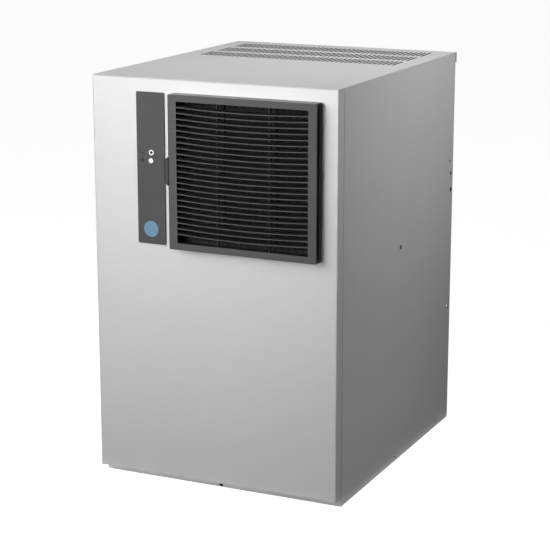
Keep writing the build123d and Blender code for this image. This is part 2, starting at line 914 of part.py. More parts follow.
def control_box():
    x = (box_left, box_right)
    y = (box_front, box_front + box_depth)
    z = (deck_z, deck_z + box_height)
    return block(x, y, z) - block((x[0] + box_wall, x[1] - box_wall), (y[0], y[1] - box_wall),
                                  (z[0] + box_wall, z[1] - box_wall))


def control_box_cover():
    return block((box_left, box_right), (box_front - box_wall, box_front), (deck_z, deck_z + box_height))


def circuit_board():
    back = box_front + box_depth - box_wall
    y = (back - card_gap - board_thick, back - card_gap)
    x = (box_left + card_margin, box_right - card_margin)
    z = (deck_z + 5 * card_margin, deck_z + box_height - 3 * card_margin)
    posts = [block((a, a + 2 * board_post), (y[1], back), (b, b + 2 * board_post))
             for a in (x[0], x[1] - 2 * board_post) for b in (z[0], z[1] - 2 * board_post)]
    relays = [block((x[0] + card_margin, x[0] + 2 * card_margin), (y[0] - card_margin, y[0]), (b, b + card_margin))
              for b in fan_out(z[0] + card_margin, 2 * card_margin, 3)]
    return joined([block(x, y, z)] + posts + relays)


# Ice making compartment

def compartment_liner():
    inside = liner_half - liner_wall
    liner = block((-liner_half, liner_half), (liner_front, liner_back), (base_height, liner_top))
    liner -= block((-inside, inside), (liner_front, liner_back - liner_wall), (base_height, ceiling))
    liner -= pipe_hole_block((ceiling, liner_top))
    through = (liner_back - liner_wall, liner_back)
    liner -= rod("Y", (pan_middle, drain_z), drain_r + seam, through)
    return liner - rod("Y", (inlet_x, fill_z), pipe_r + seam, through)


def compartment_cover():
    edge = liner_half - liner_wall - seat_gap
    return block((-edge, edge), (liner_front, liner_front + liner_wall), (base_height, ceiling - seat_gap))


def cell_centres():
    xs = fan_out(evaporator_x - (cell_columns - 1) * cell_pitch / 2, cell_pitch, cell_columns)
    ys = fan_out(evaporator_y - (cell_rows - 1) * cell_pitch / 2, cell_pitch, cell_rows)
    return [(x, y) for x in xs for y in ys]


def evaporator():
    x = (evaporator_x - block_x / 2, evaporator_x + block_x / 2)
    y = (evaporator_y - block_y / 2, evaporator_y + block_y / 2)
    top = block_low + evaporator_thick
    reach = cell / 2
    cells = [block((a - reach, a + reach), (b - reach, b + reach), (block_low, block_low + cell_depth))
             for a, b in cell_centres()]
    spacers = [block((a, a + spacer), (b, b + spacer), (top, ceiling))
               for a in (x[0] + spacer_inset, x[1] - spacer_inset - spacer)
               for b in (y[0] + spacer_inset / 2, y[1] - spacer_inset / 2 - spacer)]
    return (block(x, y, (block_low, top)) - cells) + spacers


def evaporator_coil():
    """The refrigerant tube laid to and fro on the block, with both leads up through the deck."""
    z = block_low + evaporator_thick + pipe_r
    left = evaporator_x - block_x / 2 + coil_turn
    right = evaporator_x + block_x / 2 - coil_turn
    points = [(coil_lead_near, coil_near_y, coil_top), (coil_lead_near, coil_near_y, z)]
    starts = (coil_lead_near, right, left, right)
    ends = (right, left, right, coil_lead_far)
    for y, start, end in zip(coil_run_y, starts, ends):
        points += [(start, y, z), (end, y, z)]
    points += [(coil_lead_far, coil_far_y, z), (coil_lead_far, coil_far_y, coil_top)]
    return pipe(points, pipe_r)


def water_plate():
    """The plate that closes the cells from below, with one spray slot for each row of cells."""
    reach = spray_slot / 2
    plate = block((tray_x0, tray_x1), (tray_y0, tray_y1), (tray_low, tray_high))
    centres = cell_centres()
    x = (centres[0][0] - cell / 2, centres[-1][0] + cell / 2)
    return plate - [block(x, (y - reach, y + reach), (tray_low, tray_high)) for y in sorted({b for a, b in centres})]


def water_tank():
    tank = block((tray_x0, tray_x1), (tray_y0, tray_y1), (tank_low, tray_low))
    tank -= block((tray_x0 + tank_wall, tray_x1 - tank_wall), (tray_y0 + tank_wall, tray_y1 - tank_wall),
                  (tank_low + tank_wall, tray_low))
    for y in ((tray_y0, tray_y0 + lug_thick), (tray_y1 - lug_thick, tray_y1)):
        tank += block((pivot_x - lug_half, tray_x0), y, (pivot_z - lug_drop, pivot_z + lug_half))
    tank -= rod("Y", (pivot_x, pivot_z), tank_shaft_r + shaft_fit, (tray_y0, tray_y1))
    return tank + rod("Y", (arm_x, tank_pin_z), arm_pin_r, (arm_y1 + arm_pin_clear, tray_y0))


def hanger_spans():
    return ((tray_y0 - hanger_gap - hanger_thick, tray_y0 - hanger_gap),
            (tray_y1 + hanger_gap, tray_y1 + hanger_gap + hanger_thick))


def tank_hangers():
    hangers = [block((pivot_x - hanger_half, pivot_x + hanger_half), y, (pivot_z - lug_half, ceiling))
               - rod("Y", (pivot_x, pivot_z), tank_shaft_r, y) for y in hanger_spans()]
    return group(hangers)


def tank_shaft():
    spans = hanger_spans()
    return rod("Y", (pivot_x, pivot_z), tank_shaft_r, (spans[0][0], spans[1][1]))


def lift_spring():
    """The spring between the arm's pin and the tank's pin, drawn as its outline with two open hooks."""
    y = (arm_y1 + tray_y0) / 2 - arm_pin_clear
    low = tank_pin_z + arm_pin_r
    high = arm_z + arm_radius - arm_pin_r - seat_gap
    hooks = [block((arm_x - spring_hook_r, arm_x + spring_hook_r), (y - spring_hook_r, y + spring_hook_r), span)
             for span in ((low, low + spring_hook), (high - spring_hook, high))]
    return joined(hooks + [rod("Z", (arm_x, y), spring_r, (low + spring_hook, high - spring_hook))])


def cam_arm():
    y = (arm_y0, arm_y1)
    end = arm_z + arm_radius
    arm = joined([
        rod("Y", (arm_x, arm_z), arm_hub_r, y),
        block((arm_x - arm_end, arm_x + arm_end), y, (arm_z, end + arm_end)),
        rod("Y", (arm_x, end), arm_pin_r, (arm_y1, tray_y0 - arm_pin_clear * 4)),
    ])
    return arm - rod("Y", (arm_x, arm_z), arm_shaft_r, y)


def actuator_shaft():
    return rod("Y", (arm_x, arm_z), arm_shaft_r, (actuator_back - actuator_thick / 2, arm_y1))


def actuator_motor():
    reach = actuator_size / 2
    y = (actuator_back - actuator_thick, actuator_back)
    motor = block((arm_x - reach, arm_x + reach), y, (arm_z - reach, arm_z + reach))
    bore = (actuator_back - actuator_thick / 2 - sheet, actuator_back)
    return motor - rod("Y", (arm_x, arm_z), arm_shaft_r + shaft_fit, bore)


def actuator_bracket():
    reach = actuator_size / 2 + hanger_thick
    wall = liner_half - liner_wall
    y = (actuator_back, actuator_back + 2 * sheet)
    z = (arm_z - reach, arm_z + reach)
    plate = block((arm_x - reach, wall), y, z) + block((wall - 2 * sheet, wall), (y[0], y[1] + hanger_thick * 2), z)
    return plate - rod("Y", (arm_x, arm_z), arm_shaft_r + sheet, y)


def circulation_pump():
    y = tray_y1 + pump_casing_r + sheet
    z = tank_low - pump_casing / 4
    return joined([
        block((pump_x - pump_casing_r, pump_x + pump_casing_r), (tray_y1 + sheet, y + pump_casing_r),
              (z, z + pump_casing)),
        rod("Z", (pump_x, y), pump_r, (z + pump_casing, z + pump_casing + pump_height)),
        block((pump_x - lug_thick, pump_x + lug_thick), (tray_y1, y), (z + pump_casing, tray_low - sheet)),
    ])


def ice_chute():
    wall = liner_half - liner_wall
    foot = wall - chute_run
    outline = Polyline((wall - chute_thick, chute_top), (wall, chute_top), (foot + chute_thick, chute_bottom),
                       (foot, chute_bottom), close=True)
    plate = Pos(0, chute_back, 0) * extrude(Plane.XZ * make_face(outline), chute_back - chute_front)
    return plate + block((wall - chute_thick, wall), (chute_front, chute_back), (chute_top, chute_top + deck_flange))


def drain_pan():
    z = (base_height, base_height + pan_height)
    pan = block((pan_left, pan_right), (pan_front, pan_back), z)
    pan -= block((pan_left + pan_wall, pan_right - pan_wall), (pan_front + pan_wall, pan_back - pan_wall),
                 (z[0] + pan_wall, z[1]))
    return pan - rod("Y", (pan_middle, drain_z), drain_bore, (pan_back - pan_wall, pan_back))


def drain_pipe():
    """A thin tube from the pan, and the thicker stub outside that takes the hose."""
    centre = (pan_middle, drain_z)
    tube = rod("Y", centre, drain_r - sheet, (pan_back, depth + stub_gap))
    stub = rod("Y", centre, drain_r, (depth + stub_gap, rear_reach))
    return tube + stub - rod("Y", centre, drain_bore, (pan_back, rear_reach))


def bin_switch():
    back = liner_back - liner_wall
    reach = switch_width / 2
    body = block((switch_x, switch_x + switch_width), (paddle_y - switch_back, back),
                 (paddle_pivot_z - reach, paddle_pivot_z + reach))
    pin_end = switch_x - 2 * board_post - paddle_width
    return body + rod("X", (paddle_y, paddle_pivot_z), paddle_pin_r, (pin_end, switch_x))


def bin_switch_paddle():
    x = (switch_x - board_post - paddle_width, switch_x - board_post)
    knuckle = rod("X", (paddle_y, paddle_pivot_z), paddle_pin_r + paddle_thick, x)
    flap = block(x, (paddle_y - paddle_thick / 2, paddle_y + paddle_thick / 2), (paddle_low, paddle_pivot_z))
    return knuckle + flap - rod("X", (paddle_y, paddle_pivot_z), paddle_pin_r + shaft_fit, x)


# Water and power inlets

def water_valve():
    """The valve body inside, its hexagon flange against the rear panel and the threaded stub outside."""
    y = depth - water_valve_length
    body = block((inlet_x - water_valve_half, inlet_x + water_valve_half), (y, depth - 2 * inlet_r),
                 (inlet_z - water_valve_half, inlet_z + water_valve_half))
    valve = joined([
        body,
        hexagon_bar("Y", (inlet_x, inlet_z), inlet_r * 1.5, (depth - 2 * inlet_r, depth)),
        hexagon_bar("Y", (inlet_x, inlet_z), inlet_r - seam, (depth, depth + stub_gap)),
        rod("Y", (inlet_x, inlet_z), inlet_r, (depth + stub_gap, rear_reach)),
    ])
    return valve - rod("Y", (inlet_x, inlet_z), inlet_bore, (depth - inlet_r, rear_reach))


def fill_pipe():
    """From the valve over the compartment to the edge of the water plate."""
    start = depth - water_valve_length
    return pipe([(inlet_x, start, inlet_z), (inlet_x, liner_back + 4 * pipe_r, inlet_z),
                 (inlet_x, liner_back + 4 * pipe_r, fill_z), (inlet_x, fill_end_y, fill_z),
                 (fill_end_x, fill_end_y, fill_z), (fill_end_x, fill_end_y, tray_high + 2 * pipe_r)], pipe_r)


def cable_gland():
    gland = joined([
        hexagon_bar("Y", (gland_x, gland_z), gland_r * 1.5, (depth - gland_r / 2, depth)),
        rod("Y", (gland_x, gland_z), gland_r, (depth, gland_reach)),
    ])
    return gland - rod("Y", (gland_x, gland_z), gland_r / 2, (depth - gland_r / 2, gland_reach))


nodes = {
    "base_pan": base_pan,
    "left_side_panel": lambda: side_panel(-1),
    "right_side_panel": lambda: side_panel(1),
    "front_panel": front_panel,
    "rear_panel": rear_panel,
    "top_panel": top_panel,
    "vent_guard": vent_guard,
    "panel_screws": panel_screws,
    "dark_screws": dark_screws,
    "louvre_door": louvre_door,
    "louvre_frame": louvre_frame,
    "air_filter": air_filter,
    "control_plate": control_plate,
    "power_button": power_button,
    "service_button": service_button,
    "power_lamp_lens": power_lamp_lens,
    "service_lamp_lens": service_lamp_lens,
    "display_board": display_board,
    "partition_shelf": partition_shelf,
    "condenser": condenser,
    "fan_shroud": fan_shroud,
    "fan_blade": fan_blade,
    "fan_shaft": fan_shaft,
    "fan_motor": fan_motor,
    "fan_bracket": fan_bracket,
    "compressor": compressor,
    "compressor_feet": compressor_feet,
    "compressor_bolts": compressor_bolts,
    "filter_drier": filter_drier,
    "liquid_pipe": liquid_pipe,
    "discharge_pipe": discharge_pipe,
    "expansion_pipe": expansion_pipe,
    "suction_pipe": suction_pipe,
    "hot_gas_valve": hot_gas_valve,
    "hot_gas_pipes": hot_gas_pipes,
    "control_box": control_box,
    "control_box_cover": control_box_cover,
    "circuit_board": circuit_board,
    "compartment_liner": compartment_liner,
    "compartment_cover": compartment_cover,
    "evaporator": evaporator,
    "evaporator_coil": evaporator_coil,
    "water_plate": water_plate,
    "water_tank": water_tank,
    "tank_hangers": tank_hangers,
    "tank_shaft": tank_shaft,
    "lift_spring": lift_spring,
    "cam_arm": cam_arm,
    "actuator_shaft": actuator_shaft,
    "actuator_motor": actuator_motor,
    "actuator_bracket": actuator_bracket,
    "circulation_pump": circulation_pump,
    "ice_chute": ice_chute,
    "drain_pan": drain_pan,
    "drain_pipe": drain_pipe,
    "bin_switch": bin_switch,
    "bin_switch_paddle": bin_switch_paddle,
    "water_valve": water_valve,
    "fill_pipe": fill_pipe,
    "cable_gland": cable_gland,
}

os.makedirs("parts", exist_ok=True)
for name, make in nodes.items():
    export_step(Pos(0, -y_middle, 0) * make(), f"parts/{name}.step")
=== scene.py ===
# %% [markdown]
# # A modular ice cube machine
#
# The machine is a sheet steel cabinet that stands on a storage bin. Air enters through a louvred door at
# the top right of its front, passes a filter and a condenser, and leaves through the slots in the roof.
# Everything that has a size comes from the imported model. This lesson gives the pieces their finishes, adds
# the small details that are too fine for the model, and sets up the studio.

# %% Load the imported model
import json
import math

import bmesh
import bpy
from mathutils import Matrix, Vector


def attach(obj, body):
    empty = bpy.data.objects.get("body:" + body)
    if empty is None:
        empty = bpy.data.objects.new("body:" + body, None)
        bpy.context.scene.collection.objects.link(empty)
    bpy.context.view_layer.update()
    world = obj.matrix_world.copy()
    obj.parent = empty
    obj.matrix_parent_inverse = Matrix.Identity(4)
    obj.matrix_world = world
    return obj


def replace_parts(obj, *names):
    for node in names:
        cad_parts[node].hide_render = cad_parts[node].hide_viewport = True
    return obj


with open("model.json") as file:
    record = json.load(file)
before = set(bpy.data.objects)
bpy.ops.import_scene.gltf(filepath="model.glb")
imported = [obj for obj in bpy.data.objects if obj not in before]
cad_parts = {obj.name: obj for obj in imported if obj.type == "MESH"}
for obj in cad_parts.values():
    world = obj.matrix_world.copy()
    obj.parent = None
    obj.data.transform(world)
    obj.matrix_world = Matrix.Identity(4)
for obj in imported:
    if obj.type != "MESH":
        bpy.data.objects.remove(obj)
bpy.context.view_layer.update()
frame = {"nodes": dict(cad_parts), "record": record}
scene = bpy.context.scene

# %% [markdown]
# Blender works in metres, but a maker thinks in millimetres from the front panel's face. One function
# turns those into the model's frame, whose origin lies in the middle of the footprint.

# %% Millimetres on the machine
FACE = -0.3425
HALF_WIDTH, REAR, ROOF = 280, 689, 880


def at(x, y, z):
    return Vector((x / 1000, FACE + y / 1000, z / 1000))


print("centre of the front's lower edge:", tuple(at(0, 0, 19)))

# %% [markdown]
# Colours are picked as sRGB hex values, as on a paint chart, but shaders count in linear light. This
# function makes the change.

# %% Colours


def paint(code):
    channels = [int(code[i:i + 2], 16) / 255 for i in (1, 3, 5)]
    return tuple(c / 12.92 if c <= 0.04045 else ((c + 0.055) / 1.055) ** 2.4 for c in channels) + (1.0,)


print("louvre grey in linear light:", [round(c, 3) for c in paint("#454546")])

# %% [markdown]
# A material is a small machine of nodes. One helper adds a node, sets it, and links its inputs. Every
# finish below is built with it. A Mix node has a pair of sockets for each kind of value, so its sockets
# for colours are picked by number.

# %% Adding nodes
MIX_A, MIX_B, MIX_RESULT = 6, 7, 2


def add(tree, kind, settings=None, links=None):
    node = tree.nodes.new(kind)
    for key, value in (settings or {}).items():
        if isinstance(key, str) and hasattr(node, key):
            setattr(node, key, value)
        else:
            node.inputs[key].default_value = value
    for key, source in (links or {}).items():
        tree.links.new(source, node.inputs[key])
    return node


def blank(name):
    material = bpy.data.materials.new(name)
    material.use_nodes = True
    material.node_tree.nodes.clear()
    return material, material.node_tree


# %% [markdown]
# Some finishes carry painted shade inside a part of the piece, such as the depth of the louvre. This mask is
# one inside a box and fades to zero at the box's walls.

# %% A mask for a box


def inside(tree, place, low, high, soft=0.02):
    half = [(b - a) / 2 for a, b in zip(low, high)]
    middle = [(a + b) / 2 for a, b in zip(low, high)]
    spot = add(tree, "ShaderNodeMapping", {"Location": [-m / h for m, h in zip(middle, half)],
                                           "Scale": [1 / h for h in half]}, {"Vector": place})
    reach = add(tree, "ShaderNodeVectorMath", {"operation": "ABSOLUTE"}, {0: spot.outputs["Vector"]})
    sides = add(tree, "ShaderNodeSeparateXYZ", None, {"Vector": reach.outputs["Vector"]})
    farthest = sides.outputs["X"]
    for other in ("Y", "Z"):
        farthest = add(tree, "ShaderNodeMath", {"operation": "MAXIMUM"},
                       {0: farthest, 1: sides.outputs[other]}).outputs[0]
    fade = {"From Min": 1 - soft, "From Max": 1.0, "To Min": 1.0, "To Max": 0.0}
    return add(tree, "ShaderNodeMapRange", fade, {"Value": farthest}).outputs["Result"]


def shaded(tree, place, tone, painted_shades):
    """A colour with painted shade, or a painted highlight, laid over it inside each box."""
    for low, high, shade in painted_shades:
        layer = add(tree, "ShaderNodeMix", {"data_type": "RGBA", MIX_B: paint(shade)},
                    {"Factor": inside(tree, place, low, high), MIX_A: tone})
        tone = layer.outputs[MIX_RESULT]
    return tone


# %% [markdown]
# **Sheet steel.** Stainless and galvanised sheet is rolled and often brushed, so its surface has fine
# lines one way and broad, faint clouds where the sheet was handled. The lines are a noise stretched along
# X, and the clouds a slow noise that moves both colour and roughness a little. Real brush lines are about
# 0.1 mm apart; they are drawn at 0.8 mm so that they still show in the picture.

# %% Rolled and brushed sheet


def sheet_steel(name, light, dark, metallic, roughness, line_mm, depth_mm, cloud_mm=160, painted_shades=()):
    material, tree = blank(name)
    place = add(tree, "ShaderNodeTexCoord").outputs["Object"]
    stretched = add(tree, "ShaderNodeMapping", {"Scale": (0.02, 1.0, 1.0)}, {"Vector": place})
    lines = add(tree, "ShaderNodeTexNoise", {"Scale": 1000 / line_mm, "Detail": 2.0},
                {"Vector": stretched.outputs["Vector"]})
    clouds = add(tree, "ShaderNodeTexNoise", {"Scale": 1000 / cloud_mm, "Detail": 3.0}, {"Vector": place})
    both = add(tree, "ShaderNodeMath", {"operation": "MULTIPLY"},
               {0: lines.outputs["Fac"], 1: clouds.outputs["Fac"]})
    sheet = add(tree, "ShaderNodeMix", {"data_type": "RGBA", MIX_A: paint(dark), MIX_B: paint(light)},
                {"Factor": both.outputs[0]})
    colour = shaded(tree, place, sheet.outputs[MIX_RESULT], painted_shades)
    rough = add(tree, "ShaderNodeMapRange", {"From Min": 0.2, "From Max": 0.8, "To Min": roughness - 0.05,
                                             "To Max": roughness + 0.05}, {"Value": lines.outputs["Fac"]})
    bump = add(tree, "ShaderNodeBump", {"Strength": 0.25, "Distance": depth_mm / 1000},
               {"Height": lines.outputs["Fac"]})
    links = {"Base Color": colour, "Roughness": rough.outputs["Result"], "Normal": bump.outputs["Normal"]}
    shader = add(tree, "ShaderNodeBsdfPrincipled", {"Metallic": metallic}, links)
    add(tree, "ShaderNodeOutputMaterial", None, {"Surface": shader.outputs[0]})
    return material


# %% [markdown]
# **Moulded plastic and paint.** A mould is spark eroded, which leaves a fine even grain on the piece, and
# a sprayed coat settles into a slight orange peel. Both are a noise bump of a set size over a colour that
# drifts a little, so one function serves, with the grain's size, depth and gloss of each piece.

# %% Grained plastic, rubber and paint
DRIFT_MM = 40


def grained(name, light, dark, roughness, grain_mm, depth_mm, metallic=0.0, coat=0.0, painted_shades=()):
    material, tree = blank(name)
    place = add(tree, "ShaderNodeTexCoord").outputs["Object"]
    grain = add(tree, "ShaderNodeTexNoise", {"Scale": 1000 / grain_mm, "Detail": 2.0}, {"Vector": place})
    drift = add(tree, "ShaderNodeTexNoise", {"Scale": 1000 / DRIFT_MM, "Detail": 4.0}, {"Vector": place})
    body = add(tree, "ShaderNodeMix", {"data_type": "RGBA", MIX_A: paint(dark), MIX_B: paint(light)},
               {"Factor": drift.outputs["Fac"]})
    colour = shaded(tree, place, body.outputs[MIX_RESULT], painted_shades)
    rough = add(tree, "ShaderNodeMapRange", {"From Min": 0.3, "From Max": 0.7, "To Min": roughness - 0.06,
                                             "To Max": roughness + 0.06}, {"Value": drift.outputs["Fac"]})
    bump = add(tree, "ShaderNodeBump", {"Strength": 0.4, "Distance": depth_mm / 1000},
               {"Height": grain.outputs["Fac"]})
    links = {"Base Color": colour, "Roughness": rough.outputs["Result"], "Normal": bump.outputs["Normal"]}
    shader = add(tree, "ShaderNodeBsdfPrincipled", {"Metallic": metallic, "Coat Weight": coat}, links)
    add(tree, "ShaderNodeOutputMaterial", None, {"Surface": shader.outputs[0]})
    return material


# %% [markdown]
# **Filter mesh.** The pad behind the louvre is a woven plastic net. Two crossed sets of dark and darker
# bands stand for its threads. Real threads lie 1 to 3 mm apart, too fine to show from here, so the bands
# are drawn about 15 mm apart. A wave texture runs through 20 radians in each unit of its input, and one
# band takes tau radians.

# %% Woven filter net
WAVE_RADIANS = 20


def filter_net(name, light, dark, band_mm):
    material, tree = blank(name)
    place = add(tree, "ShaderNodeTexCoord").outputs["Object"]
    scale = 1000 / band_mm * math.tau / WAVE_RADIANS
    bands = [add(tree, "ShaderNodeTexWave", {"bands_direction": way, "Scale": scale},
                 {"Vector": place}).outputs["Fac"] for way in ("X", "Z")]
    net = add(tree, "ShaderNodeMath", {"operation": "MAXIMUM"}, {0: bands[0], 1: bands[1]})
    threads = add(tree, "ShaderNodeMix", {"data_type": "RGBA", MIX_A: paint(dark), MIX_B: paint(light)},
                  {"Factor": net.outputs[0]})
    bump = add(tree, "ShaderNodeBump", {"Strength": 0.5, "Distance": 0.0004}, {"Height": net.outputs[0]})
    shader = add(tree, "ShaderNodeBsdfPrincipled", {"Roughness": 0.8},
                 {"Base Color": threads.outputs[MIX_RESULT], "Normal": bump.outputs["Normal"]})
    add(tree, "ShaderNodeOutputMaterial", None, {"Surface": shader.outputs[0]})
    return material


# %% [markdown]
# **Smoked lens.** The small window over the power lamp is smoked acrylic with a faint moulding ripple,
# whose waves are about a millimetre long.

# %% Smoked acrylic
RIPPLES_PER_METRE = 900


def smoked_acrylic(name, tint):
    material, tree = blank(name)
    place = add(tree, "ShaderNodeTexCoord").outputs["Object"]
    ripple = add(tree, "ShaderNodeTexNoise", {"Scale": RIPPLES_PER_METRE, "Detail": 2.0}, {"Vector": place})
    bump = add(tree, "ShaderNodeBump", {"Strength": 0.2, "Distance": 0.0001},
               {"Height": ripple.outputs["Fac"]})
    look = {"Base Color": paint(tint), "Roughness": 0.12, "IOR": 1.49, "Transmission Weight": 0.55}
    shader = add(tree, "ShaderNodeBsdfPrincipled", look, {"Normal": bump.outputs["Normal"]})
    add(tree, "ShaderNodeOutputMaterial", None, {"Surface": shader.outputs[0]})
    return material


# %% [markdown]
# Now each material slot of the record gets the finish of the real piece. Three finishes hold boxes of
# painted shade: the depth of the louvre with its finger tab, the walls of the roof slots, and the seam
# beside the front, whose bend also holds a painted highlight line. They stand for shade, and for that one
# highlight, that soft lamps would wash out. A box is its low corner, its high corner and its painted colour.

# %% The finishes
# Painted shade: a darker band in the seam between the front's side return and the side panel.
SEAM_SHADE = (at(-283, 26.9, 12), at(283, 28.9, 872), "#5E5E5E")
# Painted highlight: a lighter line on the front panel's right bend, where the bend catches the light.
BEND_HIGHLIGHT = (at(278.4, -1, 20), at(283, 0.9, 872), "#FAFAFA")
# Painted shade: the walls of the roof slots are near black, where they lie in shade.
ROOF_SLOT_SHADE = (at(-250, 400, 870), at(250, 680, 879.95), "#060606")
# Painted shade: the louvre goes near black behind its front edges, where blades and frame lie in shade.
LOUVRE_DEPTH_SHADE = (at(-74, -26.7, 540), at(242, 53.3, 850), "#0E0E0F")
# Painted shade on the finger tab's face, and painted shadow, near black, along its left edge and at its
# upper and lower ends.
TAB_SHADE = (at(-98, -40, 600), at(-87.2, 40, 760), "#2C2C2D")
TAB_EDGE_SHADOW = (at(-98, -40, 600), at(-94.8, 40, 760), "#020202")
TAB_HEAD_SHADOW = (at(-91.5, -40, 715), at(-87.2, 40, 730), "#020202")
TAB_FOOT_SHADOW = (at(-91.5, -40, 655), at(-87.2, 40, 670), "#020202")
finishes = {
    "cabinet_steel": sheet_steel("brushed_stainless", "#DCDCDC", "#D2D2D2", 0.55, 0.42, 0.8, 0.004,
                                 painted_shades=(SEAM_SHADE, BEND_HIGHLIGHT)),
    # Painted light: the base pan's steel is a lighter, less metallic copy of the cabinet's, for the strip in
    # shade under the front panel.
    "base_steel": sheet_steel("stainless_base_painted_lighter", "#E0E0E0", "#D6D6D6", 0.3, 0.45, 0.8, 0.004),
    "roof_steel": sheet_steel("stainless_roof", "#DCDCDC", "#D2D2D2", 0.55, 0.42, 0.8, 0.004,
                              painted_shades=(ROOF_SLOT_SHADE,)),
    "galvanised_steel": sheet_steel("galvanised_sheet", "#B4B6B8", "#9A9C9E", 0.6, 0.6, 3.0, 0.006, 30),
    "guard_plastic": grained("black_guard_net", "#0C0C0D", "#060607", 0.9, 0.9, 0.02),
    "zinc_screws": grained("zinc_plated_steel", "#D2D2CE", "#BDBDB8", 0.3, 0.5, 0.004, 1.0),
    "black_screws": grained("blackened_steel", "#242424", "#161616", 0.45, 0.5, 0.004, 0.6),
    "louvre_plastic": grained("grey_abs_louvre", "#454546", "#3F3F40", 0.5, 0.9, 0.02,
                              painted_shades=(LOUVRE_DEPTH_SHADE, TAB_SHADE, TAB_EDGE_SHADOW, TAB_HEAD_SHADOW, TAB_FOOT_SHADOW)),
    "filter_mesh": filter_net("woven_filter_net", "#26282A", "#0B0B0C", 15.08),
    "plate_plastic": grained("grey_abs_plate", "#404041", "#3A3A3B", 0.45, 0.9, 0.015),
    "power_plastic": grained("dark_gloss_abs", "#3A3A3D", "#303033", 0.22, 1.5, 0.004, coat=0.4),
    "service_plastic": grained("black_gloss_abs", "#2E2E30", "#28282A", 0.35, 1.5, 0.004),
    "clear_lens": smoked_acrylic("smoked_acrylic_lens", "#6A6C6A"),
    "white_lens": grained("white_acrylic", "#F2F2EE", "#E4E4E0", 0.25, 1.2, 0.003, coat=0.3),
    "circuit_laminate": grained("green_board_lacquer", "#2E6E44", "#1E5232", 0.35, 1.0, 0.01, coat=0.3),
    "finned_aluminium": sheet_steel("mill_aluminium", "#C8CACC", "#AEB0B2", 0.95, 0.4, 1.2, 0.01, 40),
    "fan_plastic": grained("black_nylon_fan", "#2A2A2C", "#202022", 0.5, 0.8, 0.02),
    "bright_steel": sheet_steel("ground_steel", "#D0D0D0", "#BEBEBE", 1.0, 0.25, 0.6, 0.003, 30),
    "motor_paint": grained("motor_enamel", "#3E3F42", "#333437", 0.4, 2.0, 0.02, 0.2),
    "compressor_paint": grained("black_stove_enamel", "#1A1A1C", "#101012", 0.3, 2.5, 0.03, coat=0.3),
    "foot_rubber": grained("black_rubber", "#1E1E1F", "#141415", 0.75, 0.8, 0.03),
    "copper": grained("drawn_copper", "#C8825A", "#A8643E", 0.28, 3.0, 0.01, 1.0),
    "valve_brass": grained("turned_brass", "#C8A858", "#B08E40", 0.3, 1.0, 0.01, 1.0),
    "liner_plastic": grained("white_liner_abs", "#E8EAEC", "#DCDEE0", 0.35, 1.4, 0.01),
    "tinned_plate": sheet_steel("tinned_copper_plate", "#D2D2D4", "#BCBCC0", 1.0, 0.3, 1.5, 0.005, 50),
    "tank_plastic": grained("pale_blue_abs", "#D4DEE6", "#C6D2DC", 0.3, 1.4, 0.01),
    "arm_nylon": grained("natural_nylon", "#E6E4DA", "#D8D6CA", 0.5, 1.0, 0.02),
    "pump_plastic": grained("dark_glass_filled_nylon", "#34363A", "#26282C", 0.55, 0.7, 0.03),
    "inlet_plastic": grained("white_acetal", "#E4E4DF", "#D6D6D0", 0.35, 1.0, 0.01),
    "hose_plastic": grained("milky_polythene", "#D8DCDE", "#C8CCCE", 0.4, 1.2, 0.01),
    "gland_plastic": grained("black_nylon_gland", "#1E1E20", "#141416", 0.45, 0.9, 0.02),
}
for part in frame["record"]["subparts"]:
    frame["nodes"][part["node"]].material_slots[0].material = finishes[part["material_slot"]]
# The base pan gets the lighter painted copy of the steel, and the roof the copy with the slots' painted
# shade.
frame["nodes"]["base_pan"].material_slots[0].material = finishes["base_steel"]
frame["nodes"]["top_panel"].material_slots[0].material = finishes["roof_steel"]
print("finishes given:", len(finishes))

# %% [markdown]
# New pieces are made with bmesh. Each is finished the same way: the mesh becomes an object at the origin,
# gets its finish, and rides on the body that carries it.

# %% Turning a bmesh into a piece


def piece(name, shape, slot, body):
    bmesh.ops.recalc_face_normals(shape, faces=shape.faces)
    mesh = bpy.data.meshes.new(name)
    shape.to_mesh(mesh)
    shape.free()
    item = bpy.data.objects.new(name, mesh)
    scene.collection.objects.link(item)
    mesh.materials.append(finishes[slot])
    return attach(item, body)


# %% [markdown]
# **Screw heads.** The model has plain hexagon blanks where the screws sit. A real pan head is a low dome
# with a cross recess, so for every screw a dome is made on the Z axis, its cross is pressed in, and the
# head is turned to face outward.

# %% Pan head screws
HEAD_RADIUS = 0.0046
DOME = 0.42
CROSS_FROM, CROSS_HALF, CROSS_DEPTH = 0.0012, 0.0006, 0.0007


def pan_head(shape, place, outward):
    """One domed head with a cross pressed into its top."""
    made = bmesh.ops.create_uvsphere(shape, u_segments=24, v_segments=12, radius=HEAD_RADIUS)
    for vert in made["verts"]:
        vert.co.z = max(0.0, vert.co.z) * DOME
        if vert.co.z > CROSS_FROM and min(abs(vert.co.x), abs(vert.co.y)) < CROSS_HALF:
            vert.co.z -= CROSS_DEPTH
    turn = Vector((0, 0, 1)).rotation_difference(outward).to_matrix().to_4x4()
    bmesh.ops.transform(shape, matrix=Matrix.Translation(place) @ turn, verts=made["verts"])


